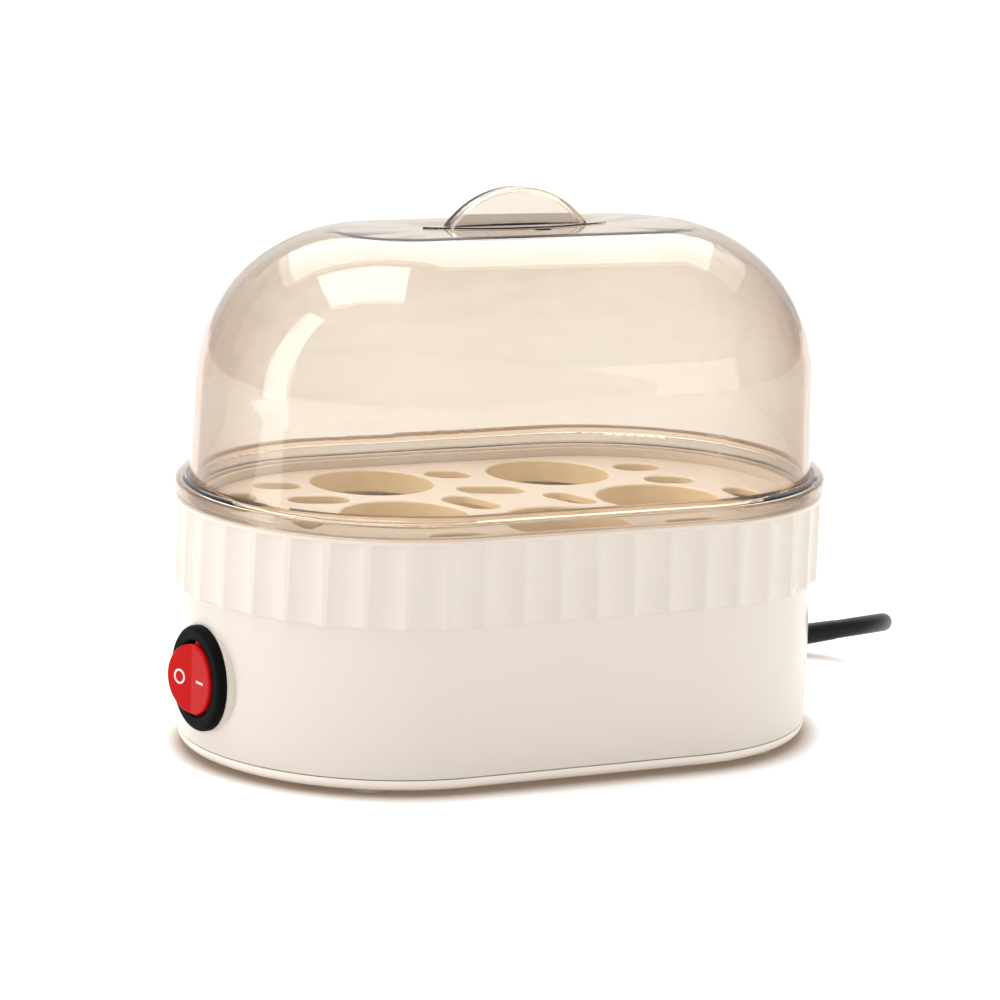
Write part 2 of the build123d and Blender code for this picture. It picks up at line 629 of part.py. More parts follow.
pivot = sw_face + sw_dir * (BEZEL_T - PIVOT_D)
rk_a = sw_a + math.radians(ROCK_TILT)
rk_dir = Vector(-math.cos(rk_a), -math.sin(rk_a), 0)
rk_side = Vector(-math.sin(rk_a), math.cos(rk_a), 0)
FACE_MID = 3.0          # height of the rocker's face above the pivot, at the middle
FACE_END = 4.2          # and at its two ends
SKIRT = 5.4             # depth of the rocker below the pivot
SKIRT_R = 9.4

with BuildPart() as rocker:
    with BuildSketch(Plane(origin=pivot - rk_dir * SKIRT, x_dir=rk_side, z_dir=rk_dir)):
        Circle(ROCK_R)
    extrude(amount=SKIRT + 6)
    skirt_u = math.sqrt(SKIRT_R ** 2 - SKIRT ** 2)
    with BuildSketch(Plane(origin=pivot + Vector(0, 0, -12), x_dir=rk_side, z_dir=(0, 0, 1))):
        with BuildLine():
            Polyline((-SKIRT_R, 0), (-SKIRT_R, FACE_END), (0, FACE_MID), (SKIRT_R, FACE_END), (SKIRT_R, 0))
            ThreePointArc((SKIRT_R, 0), (SKIRT_R * math.cos(0.3), -SKIRT_R * math.sin(0.3)), (skirt_u, -SKIRT))
            Line((skirt_u, -SKIRT), (-skirt_u, -SKIRT))
            ThreePointArc((-skirt_u, -SKIRT), (-SKIRT_R * math.cos(0.3), -SKIRT_R * math.sin(0.3)), (-SKIRT_R, 0))
        make_face()
    extrude(amount=24, mode=Mode.INTERSECT)
    face_edges = rocker.edges().filter_by(lambda e: (e.center() - pivot).dot(rk_dir) > FACE_MID + 0.3)
    fillet(face_edges, 0.5)
    # pivot pins, top and bottom
    with BuildSketch(Plane(origin=pivot + Vector(0, 0, -10.6), x_dir=(1, 0, 0), z_dir=(0, 0, 1))):
        Circle(1.5)
    extrude(amount=21.2)
rocker.part.label = "rocker"
export_step(rocker.part, "parts/rocker.step")

facet = math.atan((FACE_END - FACE_MID) / SKIRT_R)


def facet_plane(side):
    """Plane on one facet of the rocker's face, side +1 at the rear."""
    u = side * 4.3
    here = pivot + rk_side * u + rk_dir * (FACE_MID + abs(u) * math.tan(facet))
    normal = rk_dir * math.cos(facet) - rk_side * (side * math.sin(facet))
    return Plane(origin=here, x_dir=(0, 0, 1), z_dir=normal)


with BuildPart() as rocker_marks:
    with BuildSketch(facet_plane(1)):
        Circle(2.0)
        Circle(1.45, mode=Mode.SUBTRACT)
    extrude(amount=0.12)
    with BuildSketch(facet_plane(-1)):
        Rectangle(0.6, 3.4)
    extrude(amount=0.12)
rocker_marks.part.label = "rocker_marks"
export_step(rocker_marks.part, "parts/rocker_marks.step")

with BuildPart() as contact_plunger:
    with BuildSketch(Plane(origin=pivot - rk_dir * SKIRT, x_dir=rk_side, z_dir=rk_dir)):
        Circle(1.4)
    extrude(amount=-2.6)
contact_plunger.part.label = "contact_plunger"
export_step(contact_plunger.part, "parts/contact_plunger.step")

with BuildPart() as contact_lever:
    with BuildSketch(Plane(origin=sw_face - sw_dir * (CAVITY_D - 1.3) - Vector(0, 0, 2.0),
                           x_dir=Vector(-math.sin(sw_a), math.cos(sw_a), 0), z_dir=(0, 0, 1))):
        with BuildLine():
            Polyline((-6.4, 1.2), (0, 0), (6.4, 1.2), (6.4, 0.7), (0, -0.5), (-6.4, 0.7), close=True)
        make_face()
    extrude(amount=4.0)
contact_lever.part.label = "contact_lever"
export_step(contact_lever.part, "parts/contact_lever.step")

sw_side = Vector(-math.sin(sw_a), math.cos(sw_a), 0)
with BuildPart() as indicator_lamp:
    with BuildSketch(Plane(origin=sw_face - sw_dir * 8.4 + Vector(0, 0, 6.0) - sw_side * 3.5,
                           x_dir=(0, 0, 1), z_dir=sw_side)):
        Circle(1.5)
    extrude(amount=7)
    fillet(indicator_lamp.edges().filter_by(GeomType.CIRCLE), 1.2)
indicator_lamp.part.label = "indicator_lamp"
export_step(indicator_lamp.part, "parts/indicator_lamp.step")

with BuildPart() as switch_terminals:
    with BuildSketch(sw_plane(-BARREL_D)):
        with Locations((5, 0), (-5, 0), (0, 0)):
            Rectangle(0.8, 6.3)
    extrude(amount=-9)
switch_terminals.part.label = "switch_terminals"
export_step(switch_terminals.part, "parts/switch_terminals.step")

# ------------------------------------------------------------------
# wiring inside the base
# ------------------------------------------------------------------
tab_a = sw_face - sw_dir * (BARREL_D + 9) + sw_side * 5
tab_b = sw_face - sw_dir * (BARREL_D + 9) - sw_side * 5
with BuildPart() as crimp_sleeves:
    for tab in (tab_a, tab_b):
        with BuildSketch(Plane(origin=tab, x_dir=(0, 0, 1), z_dir=sw_dir * -1)):
            Circle(2.6)
        extrude(amount=7)
    with BuildSketch(Plane.XY.offset(spread_z - 16)):
        with Locations((26.5, 0), (33.5, 0)):
            Circle(2.6)
    extrude(amount=-7)
    with BuildSketch(Plane(origin=(61, 0, tube_z), x_dir=(0, 1, 0), z_dir=(1, 0, 0))):
        with Locations((LEG_Y, 0), (-LEG_Y, 0)):
            Circle(2.6)
    extrude(amount=7)
    with BuildSketch(Plane(origin=(-46, 14, spread_z - 2.2), x_dir=(1, 0, 0), z_dir=(0, 1, 0))):
        Circle(1.7)
    extrude(amount=6)
    with BuildSketch(Plane(origin=(-46, -14, spread_z - 2.2), x_dir=(1, 0, 0), z_dir=(0, -1, 0))):
        Circle(1.7)
    extrude(amount=6)
crimp_sleeves.part.label = "crimp_sleeves"
export_step(crimp_sleeves.part, "parts/crimp_sleeves.step")

end_a = tab_a - sw_dir * 7
end_b = tab_b - sw_dir * 7
turn_a = end_a - sw_dir * 5
turn_b = end_b - sw_dir * 5
lead_x = 62.0
WIRES = {
    "wire_live": [(lead_x, 1.4, LEAD_Z), (lead_x - 5, 1.4, LEAD_Z), (46, 12, 19), (20, 22, 20), (-30, 22, 20),
                  (turn_a.X + 8, 7, 22), (turn_a.X, turn_a.Y, turn_a.Z), (end_a.X, end_a.Y, end_a.Z)],
    "wire_switched": [(end_b.X, end_b.Y, end_b.Z), (turn_b.X, turn_b.Y, turn_b.Z), (-36, -14, 20), (0, -20, 14),
                      (26.5, -10, 11), (26.5, 0, 11.5), (26.5, 0, spread_z - 23)],
    "wire_link": [(33.5, 0, spread_z - 23), (33.5, 0, 11.5), (24, 14, 10), (-20, 32, 18),
                  (-46, 33, 30), (-46, 26, spread_z - 2.2), (-46, 20, spread_z - 2.2)],
    "wire_element": [(-46, -20, spread_z - 2.2), (-46, -27, spread_z - 2.2), (-30, -36, 31), (30, -36, 31),
                     (64, -28, 30), (76, -20, 34), (76, -14, tube_z), (68, -14, tube_z)],
    "wire_neutral": [(lead_x, -1.4, LEAD_Z), (lead_x - 5, -1.4, LEAD_Z), (48, -7, 22), (52, 8, 27), (64, 22, 30),
                     (76, 20, 34), (76, 14, tube_z), (68, 14, tube_z)],
}
for wire_name, points in WIRES.items():
    with BuildPart() as wire:
        with BuildLine() as route:
            FilletPolyline(*points, radius=2.5)
        with BuildSketch(Plane(origin=points[0], z_dir=(Vector(*points[1]) - Vector(*points[0])).normalized())):
            Circle(0.95)
        sweep(path=route.wires()[0])
    wire.part.label = wire_name
    export_step(wire.part, "parts/" + wire_name + ".step")

# ------------------------------------------------------------------
# mains cord: jacket inside, clamp, bushing
# ------------------------------------------------------------------
end_x = LENGTH / 2 - WALL_IN
bush_x = end_x + BUSH_OUT
rise = Vector(*CORD_RISE)
back = Vector(*CORD_BACK)
bend_start = Vector(end_x, 0, CORD_Z) + rise * (BUSH_OUT / rise.X)
cord_exit = Vector(end_x, 0, CORD_Z) + rise * (SLEEVE_OUT / rise.X)
lead_z = LEAD_Z
SLEEVE_R = 3.1          # radius of the sleeve at the wall
SLEEVE_TAPER = 1.3      # degrees
with BuildPart() as cord_lead:
    with BuildLine() as lead_line:
        FilletPolyline((lead_x, 0, lead_z), (bush_x - KNEE, 0, lead_z),
                       (bend_start.X, bend_start.Y, bend_start.Z), radius=60)
    with BuildSketch(Plane(origin=(lead_x, 0, lead_z), x_dir=(0, 1, 0), z_dir=(1, 0, 0))):
        Circle(CORD_D / 2)
    sweep(path=lead_line.wires()[0])
cord_lead.part.label = "cord_lead"
export_step(cord_lead.part, "parts/cord_lead.step")

with BuildPart() as cord_clamp:
    with BuildSketch(Plane.XY.offset(lead_z - CORD_D / 2 + 0.8)):
        with Locations((69, 0)):
            Rectangle(8, 24)
    extrude(amount=7)
    fillet(cord_clamp.edges().filter_by(Axis.Z), 1.5)
    with BuildSketch(Plane(origin=(60, 0, lead_z), x_dir=(0, 1, 0), z_dir=(1, 0, 0))):
        Circle(CORD_D / 2)
    extrude(amount=20, mode=Mode.SUBTRACT)
    with BuildSketch(Plane.XY.offset(10)):
        with Locations((69, 8.5), (69, -8.5)):
            Circle(1.4)
    extrude(amount=20, mode=Mode.SUBTRACT)
cord_clamp.part.label = "cord_clamp"
export_step(cord_clamp.part, "parts/cord_clamp.step")

clamp_top = lead_z - CORD_D / 2 + 7.8
with BuildPart() as clamp_screws:
    with BuildSketch(Plane.XY.offset(clamp_top)):
        with Locations((69, 8.5), (69, -8.5)):
            Circle(2.7)
    extrude(amount=1.8)
    with BuildSketch(Plane.XY.offset(clamp_top)):
        with Locations((69, 8.5), (69, -8.5)):
            Circle(1.15)
    extrude(amount=-(clamp_top - 9))
clamp_screws.part.label = "clamp_screws"
export_step(clamp_screws.part, "parts/clamp_screws.step")

with BuildPart() as cord_bushing:
    with BuildSketch(Plane(origin=(end_x, 0, CORD_Z), x_dir=(0, 1, 0), z_dir=(1, 0, 0))):
        Circle(6.2)
    extrude(amount=1.6)
    with BuildSketch(Plane(origin=(end_x + 1.6, 0, CORD_Z), x_dir=(0, 1, 0), z_dir=(1, 0, 0))):
        Circle(4.4)
    extrude(amount=BUSH_OUT - 1.6, taper=20)
    # root of the tapered sleeve, along the line that the cord leaves by
    with BuildSketch(Plane(origin=Vector(end_x, 0, CORD_Z) + rise, x_dir=(0, 1, 0), z_dir=rise)):
        Circle(SLEEVE_R)
    extrude(amount=SLEEVE_OUT / rise.X - 1, taper=SLEEVE_TAPER)
    with BuildSketch(Plane(origin=(end_x, 0, CORD_Z), x_dir=(0, 1, 0), z_dir=(1, 0, 0))):
        Circle(4.4)
    extrude(amount=-4.6)
    with BuildSketch(Plane(origin=(end_x - 2.9, 0, CORD_Z), x_dir=(0, 1, 0), z_dir=(1, 0, 0))):
        Circle(5.8)
    extrude(amount=-1.7)
    with BuildSketch(Plane(origin=Vector(end_x, 0, CORD_Z) - rise * 7, x_dir=(0, 1, 0), z_dir=rise)):
        Circle(CORD_D / 2 + 0.1)
    extrude(amount=7 + BUSH_OUT / rise.X + 0.1, mode=Mode.SUBTRACT)
    split(bisect_by=Plane(origin=(SLEEVE_X, 0, CORD_Z), z_dir=(1, 0, 0)), keep=Keep.BOTTOM)
cord_bushing.part.label = "cord_bushing"
export_step(cord_bushing.part, "parts/cord_bushing.step")

with BuildPart() as cord_sleeve:
    with BuildSketch(Plane(origin=Vector(end_x, 0, CORD_Z) + rise, x_dir=(0, 1, 0), z_dir=rise)):
        Circle(SLEEVE_R)
    extrude(amount=SLEEVE_OUT / rise.X - 1, taper=SLEEVE_TAPER)
    split(bisect_by=Plane(origin=(SLEEVE_X, 0, CORD_Z), z_dir=(1, 0, 0)), keep=Keep.TOP)
cord_sleeve.part.label = "cord_sleeve"
export_step(cord_sleeve.part, "parts/cord_sleeve.step")

# free cord: out of the sleeve, round behind the appliance, into a put-away coil
bend_run = 2 * CORD_BEND * math.tan(math.radians(22.5))
bend = [((SLEEVE_OUT - BUSH_OUT) / rise.X, 0), (bend_run, 0), (bend_run / 2 + CORD_BEND, CORD_BEND - bend_run / 2),
        (bend_run / 2 + CORD_BEND, CORD_BEND + bend_run / 2), (bend_run, 2 * CORD_BEND)]
cord_points = [bend_start + rise * a + back * b for a, b in bend]
cord_points += [Vector(94.3, 65.4, 3.0), Vector(COIL_X + 17, COIL_Y - COIL_R - 2.8, 3.0)]


def bend_radii(points):
    radii = []
    for k, (before, here, after) in enumerate(zip(points, points[1:], points[2:])):
        turn = math.radians((here - before).get_angle(after - here))
        first = 0.99 if k == 0 else 0.45       # the end runs are used whole, the others from both ends
        last = 0.95 if k == len(points) - 3 else 0.45
        tangent = min(first * (here - before).length, last * (after - here).length)
        radii.append(tangent / math.tan(turn / 2))
    return radii


cord_radii = bend_radii(cord_points)
print("cord runs", [round((b - a).length, 1) for a, b in zip(cord_points, cord_points[1:])])
print("cord radii", [round(r, 1) for r in cord_radii], "diameters", [round(r / CORD_D, 1) for r in cord_radii])
print("cord points", [[round(v, 2) for v in (q.X, q.Y, q.Z)] for q in cord_points])
with BuildPart() as power_cord:
    with BuildLine() as cord_line:
        FilletPolyline(*cord_points, radius=cord_radii)
    with BuildSketch(Plane(origin=cord_points[0], x_dir=(0, 1, 0), z_dir=rise)):
        Circle(CORD_D / 2)
    sweep(path=cord_line.wires()[0])
power_cord.part.label = "power_cord"
export_step(power_cord.part, "parts/power_cord.step")
cord_length = sum(e.length for e in cord_line.edges())
print("cord tube length", round(cord_length, 1), "volume", round(power_cord.part.volume, 1),
      "section x length", round(math.pi * CORD_D ** 2 / 4 * cord_length, 1))

with BuildPart() as cord_coil:
    with BuildSketch(Plane.XY.offset(0.1)):
        with Locations((COIL_X, COIL_Y)):
            Circle(COIL_R + COIL_HALF)
            Circle(COIL_R - COIL_HALF, mode=Mode.SUBTRACT)
    extrude(amount=COIL_H)
    fillet(cord_coil.edges(), 2.6)
cord_coil.part.label = "cord_coil"
export_step(cord_coil.part, "parts/cord_coil.step")

# end of the cord and its two-pin plug, lying beside the coil
TAIL_Y, PLUG_Z = 70.5, 7.0
RELIEF_X, PLUG_X, PLUG_L = 22.0, 2.0, 35.0
with BuildPart() as cord_tail:
    with BuildLine() as tail_line:
        FilletPolyline((COIL_X - 11, COIL_Y - COIL_R - 2.8, 8.3), (33, 69.6, 7.3), (26, TAIL_Y, PLUG_Z),
                       (RELIEF_X, TAIL_Y, PLUG_Z), radius=20)
    with BuildSketch(Plane(origin=tail_line.wires()[0] @ 0, z_dir=tail_line.wires()[0] % 0)):
        Circle(CORD_D / 2)
    sweep(path=tail_line.wires()[0])
cord_tail.part.label = "cord_tail"
export_step(cord_tail.part, "parts/cord_tail.step")

with BuildPart() as plug_relief:
    with BuildSketch(Plane(origin=(PLUG_X, TAIL_Y, PLUG_Z), x_dir=(0, 1, 0), z_dir=(1, 0, 0))):
        Circle(5.2)
    with BuildSketch(Plane(origin=(RELIEF_X, TAIL_Y, PLUG_Z), x_dir=(0, 1, 0), z_dir=(1, 0, 0))):
        Circle(3.6)
    loft()
    for g in range(4):
        with BuildSketch(Plane(origin=(PLUG_X + 4.5 + 4 * g, TAIL_Y, PLUG_Z), x_dir=(0, 1, 0), z_dir=(1, 0, 0))):
            Rectangle(12, 12)
            Circle(3.3, mode=Mode.SUBTRACT)
        extrude(amount=1.2, mode=Mode.SUBTRACT)
plug_relief.part.label = "plug_relief"
export_step(plug_relief.part, "parts/plug_relief.step")

with BuildPart() as plug_body:
    with BuildSketch(Plane.XY.offset(0.15)):
        with BuildLine():
            Polyline((PLUG_X, TAIL_Y - 5.4), (PLUG_X - 12, TAIL_Y - 7.6), (PLUG_X - 22, TAIL_Y - 12.6),
                     (PLUG_X - PLUG_L, TAIL_Y - 12.9), (PLUG_X - PLUG_L, TAIL_Y + 12.9),
                     (PLUG_X - 22, TAIL_Y + 12.6), (PLUG_X - 12, TAIL_Y + 7.6), (PLUG_X, TAIL_Y + 5.4), close=True)
        make_face()
    extrude(amount=13.7)
    fillet(plug_body.edges().filter_by(Axis.Z), 2.0)
    fillet(plug_body.faces().filter_by(Axis.Z).edges(), 1.6)
plug_body.part.label = "plug_body"
export_step(plug_body.part, "parts/plug_body.step")

with BuildPart() as plug_pins:
    with BuildSketch(Plane(origin=(PLUG_X - PLUG_L, TAIL_Y, PLUG_Z), x_dir=(0, 1, 0), z_dir=(-1, 0, 0))):
        with Locations((9.3, 0), (-9.3, 0)):
            Circle(2.0)
    extrude(amount=19)
    fillet(plug_pins.faces().sort_by(Axis.X)[:2].edges(), 1.2)
plug_pins.part.label = "plug_pins"
export_step(plug_pins.part, "parts/plug_pins.step")
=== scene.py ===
import math

import bpy
import bmesh
from mathutils import Matrix, Vector


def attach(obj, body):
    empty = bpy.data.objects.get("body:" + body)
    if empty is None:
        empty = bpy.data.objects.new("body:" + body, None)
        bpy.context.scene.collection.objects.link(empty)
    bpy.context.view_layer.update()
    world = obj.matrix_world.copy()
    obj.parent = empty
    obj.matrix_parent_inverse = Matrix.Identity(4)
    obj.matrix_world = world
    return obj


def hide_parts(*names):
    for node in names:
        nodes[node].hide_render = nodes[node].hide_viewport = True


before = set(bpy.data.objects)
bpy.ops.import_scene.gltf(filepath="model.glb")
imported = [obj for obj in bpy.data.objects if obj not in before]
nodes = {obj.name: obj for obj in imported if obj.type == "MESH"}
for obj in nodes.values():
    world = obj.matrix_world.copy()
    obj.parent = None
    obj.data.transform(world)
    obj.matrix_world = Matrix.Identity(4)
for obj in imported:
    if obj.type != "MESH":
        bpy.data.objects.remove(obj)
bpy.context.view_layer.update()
scene = bpy.context.scene
MM = 0.001


# ------------------------------------------------------------------
# camera: three-quarter view from the front left, with its small roll
# ------------------------------------------------------------------
turn, tip, roll = math.radians(27.045), math.radians(11.7219), math.radians(2.2116)
look = Vector((math.sin(turn) * math.cos(tip), math.cos(turn) * math.cos(tip), -math.sin(tip)))
side = Vector((math.cos(turn), -math.sin(turn), 0))
over = side.cross(look)
right = side * math.cos(roll) + over * math.sin(roll)
up = over * math.cos(roll) - side * math.sin(roll)
cam_data = bpy.data.cameras.new("camera")
cam_data.sensor_width = 36.0
cam_data.lens = 4.195603 * 36.0
cam_data.clip_start, cam_data.clip_end = 0.05, 60.0
cam = bpy.data.objects.new("camera", cam_data)
scene.collection.objects.link(cam)
cam.matrix_world = Matrix((
    (right.x, up.x, -look.x, -0.497653),
    (right.y, up.y, -look.y, -0.972979),
    (right.z, up.z, -look.z, 0.290415),
    (0, 0, 0, 1)))
scene.camera = cam


def add_object(name, data):
    ob = bpy.data.objects.new(name, data)
    scene.collection.objects.link(ob)
    return ob


# ------------------------------------------------------------------
# free mains cord: bend, put-away coil of three turns, tail to the plug
# ------------------------------------------------------------------
CORD_R = 2.6
route = [(105.1, 0.0, 20.44), (116.4, 0.0, 21.17), (134.28, 16.75, 17.01), (134.77, 40.44, 9.52),
         (117.58, 57.19, 3.08), (94.3, 65.4, 3.0), (71.0, 65.2, 3.0)]
COIL_X, COIL_Y = 54.0, 97.8
TURN = 14               # control points in each turn


def ease(k, stops):
    """Value at k of a line through (k, value) stops, smoothed."""
    if k <= stops[0][0]:
        return stops[0][1]
    for (k0, v0), (k1, v1) in zip(stops, stops[1:]):
        if k <= k1:
            t = (k - k0) / (k1 - k0)
            return v0 + (v1 - v0) * t * t * (3 - 2 * t)
    return stops[-1][1]


coil = []
for k in range(0, 3 * TURN + 1):
    angle = math.radians(-90 - 360 * k / TURN)
    reach = ease(k, [(9, 32.6), (13, 27.2), (29, 27.2), (36, 32.4), (42, 32.6)])
    high = ease(k, [(21.5, 3.1), (25.5, 8.4), (42, 8.4)])
    spread = reach / 0.975 if 0 < k < 3 * TURN else reach
    coil.append((COIL_X + spread * math.cos(angle), COIL_Y + spread * math.sin(angle), high))
tail = [(43.0, 65.2, 8.3), (33.0, 69.6, 7.3), (26.0, 70.5, 7.0), (20.5, 70.5, 7.0)]

cord_data = bpy.data.curves.new("mains_cord", "CURVE")
cord_data.dimensions = "3D"
line = cord_data.splines.new("NURBS")
cord_points = route + coil + tail
line.points.add(len(cord_points) - 1)
for point, (x, y, z) in zip(line.points, cord_points):
    point.co = (x * MM, y * MM, z * MM, 1.0)
    point.radius = CORD_R * MM
line.order_u = 3
line.use_endpoint_u = True
line.resolution_u = 8
cord_data.bevel_depth = 1.0
cord_data.bevel_resolution = 6
cord_data.use_fill_caps = True
mains_cord = add_object("mains_cord", cord_data)
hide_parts("power_cord", "cord_coil", "cord_tail")
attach(mains_cord, "base")


# ------------------------------------------------------------------
# small helpers for meshes
# ------------------------------------------------------------------
def mesh_object(name, verts, faces, smooth=True):
    me = bpy.data.meshes.new(name)
    me.from_pydata([Vector(v) * MM for v in verts], [], faces)
    me.validate()
    me.polygons.foreach_set("use_smooth", [smooth] * len(me.polygons))
    me.update()
    return add_object(name, me)


def ring_band(name, centre, out, along, width, half_u, half_v, corner, thick):
    """Closed band around a rounded rectangle; out and up span its cross-section, along is its width."""
    inner, outer = [], []
    n = 8
    for (cx, cy, a0) in ((1, 1, 0), (-1, 1, 90), (-1, -1, 180), (1, -1, 270)):
        for i in range(n + 1):
            a = math.radians(a0 + 90 * i / n)
            for loop, extra in ((inner, 0.0), (outer, thick)):
                r = corner + extra
                loop.append((cx * (half_u - corner) + r * math.cos(a), cy * (half_v - corner) + r * math.sin(a)))
    verts, faces = [], []
    count = len(inner)
    for loop, offset in ((inner, -1), (inner, 1), (outer, 1), (outer, -1)):
        for u, v in loop:
            p = centre + out * u + Vector((0, 0, 1)) * v + along * (offset * width / 2)
            verts.append((p.x, p.y, p.z))
    for ring in range(4):
        for i in range(count):
            j = (i + 1) % count
            a, b = ring * count, ((ring + 1) % 4) * count
            faces.append((a + i, a + j, b + j, b + i))
    return mesh_object(name, verts, faces)


coil_tie = ring_band("coil_tie", Vector((COIL_X, COIL_Y + 29.9, 5.75)), Vector((0, 1, 0)), Vector((1, 0, 0)),
                     4.0, 5.5, 5.45, 2.4, 0.45)
solid_normals = bmesh.new()
solid_normals.from_mesh(coil_tie.data)
bmesh.ops.recalc_face_normals(solid_normals, faces=solid_normals.faces)
solid_normals.to_mesh(coil_tie.data)
solid_normals.free()
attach(coil_tie, "base")


# ------------------------------------------------------------------
# lid and handle as one clear moulding
# ------------------------------------------------------------------
def welded_copy(node, sink=0.0):
    """Copy of a node's mesh with its face corners joined; its lowest face is lowered by sink."""
    me = nodes[node].data.copy()
    low = min(v.co.z for v in me.vertices)
    bm = bmesh.new()
    bm.from_mesh(me)
    bmesh.ops.remove_doubles(bm, verts=bm.verts, dist=0.0000005)
    for v in bm.verts:
        if sink and v.co.z < low + 0.00001:
            v.co.z -= sink
    bmesh.ops.recalc_face_normals(bm, faces=bm.faces)
    bm.to_mesh(me)
    bm.free()
    return me


lid_whole = add_object("lid_whole", welded_copy("lid_shell"))
fin = add_object("fin_part", welded_copy("lid_handle", 0.0006))
join = lid_whole.modifiers.new("join", "BOOLEAN")
join.operation = "UNION"
join.solver = "EXACT"
join.object = fin
bpy.context.view_layer.update()
whole = bpy.data.meshes.new_from_object(lid_whole.evaluated_get(bpy.context.evaluated_depsgraph_get()))
lid_whole.modifiers.clear()
lid_whole.data = whole
bpy.data.objects.remove(fin)
bm = bmesh.new()
bm.from_mesh(whole)
for face in bm.faces:
    face.smooth = True
for edge in bm.edges:
    edge.smooth = len(edge.link_faces) == 2 and edge.calc_face_angle(0.0) < math.radians(32)
bm.to_mesh(whole)
bm.free()
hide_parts("lid_shell", "lid_handle")
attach(lid_whole, "lid")


# ------------------------------------------------------------------
# materials
# ------------------------------------------------------------------
def material(name):
    mat = bpy.data.materials.new(name)
    mat.use_nodes = True
    nt = mat.node_tree
    nt.nodes.clear()
    out = nt.nodes.new("ShaderNodeOutputMaterial")
    bsdf = nt.nodes.new("ShaderNodeBsdfPrincipled")
    nt.links.new(bsdf.outputs["BSDF"], out.inputs["Surface"])
    mat.diffuse_color = (0.8, 0.8, 0.8, 1)
    return mat, nt, bsdf, out


def noise(nt, scale, detail=3.0, stretch=(1, 1, 1), rough=0.5, offset=(0, 0, 0)):
    place = nt.nodes.new("ShaderNodeTexCoord")
    mapping = nt.nodes.new("ShaderNodeMapping")
    mapping.inputs["Scale"].default_value = stretch
    mapping.inputs["Location"].default_value = offset
    nt.links.new(place.outputs["Object"], mapping.inputs["Vector"])
    tex = nt.nodes.new("ShaderNodeTexNoise")
    tex.inputs["Scale"].default_value = scale
    tex.inputs["Detail"].default_value = detail
    tex.inputs["Roughness"].default_value = rough
    nt.links.new(mapping.outputs["Vector"], tex.inputs["Vector"])
    return tex


def vary_colour(nt, bsdf, tex, low, high):
    mix = nt.nodes.new("ShaderNodeMix")
    mix.data_type = "RGBA"
    mix.inputs[6].default_value = (*low, 1)
    mix.inputs[7].default_value = (*high, 1)
    nt.links.new(tex.outputs["Fac"], mix.inputs[0])
    nt.links.new(mix.outputs[2], bsdf.inputs["Base Color"])
    return mix


def vary_rough(nt, bsdf, tex, low, high):
    ranged = nt.nodes.new("ShaderNodeMapRange")
    ranged.inputs["From Min"].default_value = 0.3
    ranged.inputs["From Max"].default_value = 0.7
    ranged.inputs["To Min"].default_value = low
    ranged.inputs["To Max"].default_value = high
    nt.links.new(tex.outputs["Fac"], ranged.inputs["Value"])
    nt.links.new(ranged.outputs["Result"], bsdf.inputs["Roughness"])


def bump(nt, bsdf, tex, strength, distance, edge=0.0):
    node = nt.nodes.new("ShaderNodeBump")
    node.inputs["Strength"].default_value = strength
    node.inputs["Distance"].default_value = distance
    nt.links.new(tex.outputs["Fac"], node.inputs["Height"])
    if edge:
        soft = nt.nodes.new("ShaderNodeBevel")
        soft.samples = 6
        soft.inputs["Radius"].default_value = edge
        nt.links.new(soft.outputs["Normal"], node.inputs["Normal"])
    nt.links.new(node.outputs["Normal"], bsdf.inputs["Normal"])


def plastic(name, low, high, rough=(0.22, 0.32), grain=900, depth=0.000002, edge=0.0, ior=1.5, patch=45, lit_walls=None,
            **sockets):
    """Moulded plastic between two shades. Its upright faces, as in holes, may take a warmer colour instead: painted
    light that stands in for light reaching into the recesses.
    """
    mat, nt, bsdf, out = material(name)
    shade = vary_colour(nt, bsdf, noise(nt, patch, 2.0), low, high)
    # painted light: upright faces blend to a warmer, lighter colour, standing in for light reaching into holes and
    # recesses
    if lit_walls:
        facing = nt.nodes.new("ShaderNodeNewGeometry")
        parts = nt.nodes.new("ShaderNodeSeparateXYZ")
        level = nt.nodes.new("ShaderNodeMapRange")
        level.inputs["From Min"].default_value = 0.45
        level.inputs["From Max"].default_value = 0.85
        tone = nt.nodes.new("ShaderNodeMix")
        tone.data_type = "RGBA"
        tone.inputs[6].default_value = (*lit_walls, 1)
        nt.links.new(facing.outputs["Normal"], parts.inputs["Vector"])
        nt.links.new(parts.outputs["Z"], level.inputs["Value"])
        nt.links.new(level.outputs["Result"], tone.inputs[0])
        nt.links.new(shade.outputs[2], tone.inputs[7])
        nt.links.new(tone.outputs[2], bsdf.inputs["Base Color"])
    vary_rough(nt, bsdf, noise(nt, 120, 3.0, offset=(3, 1, 2)), *rough)
    bump(nt, bsdf, noise(nt, grain, 4.0, offset=(1, 5, 2)), 0.35, depth, edge)
    bsdf.inputs["IOR"].default_value = ior
    for key, value in sockets.items():
        bsdf.inputs[key.replace("_", " ")].default_value = value
    return mat


def metal(name, low, high, rough=(0.2, 0.35), stretch=(1, 1, 1), grain=500, depth=0.00001, edge=0.0):
    mat, nt, bsdf, out = material(name)
    vary_colour(nt, bsdf, noise(nt, 60, 3.0, stretch), low, high)
    vary_rough(nt, bsdf, noise(nt, grain, 3.0, stretch), *rough)
    bump(nt, bsdf, noise(nt, grain, 5.0, stretch, offset=(2, 2, 2)), 0.4, depth, edge)
    bsdf.inputs["Metallic"].default_value = 1.0
    return mat


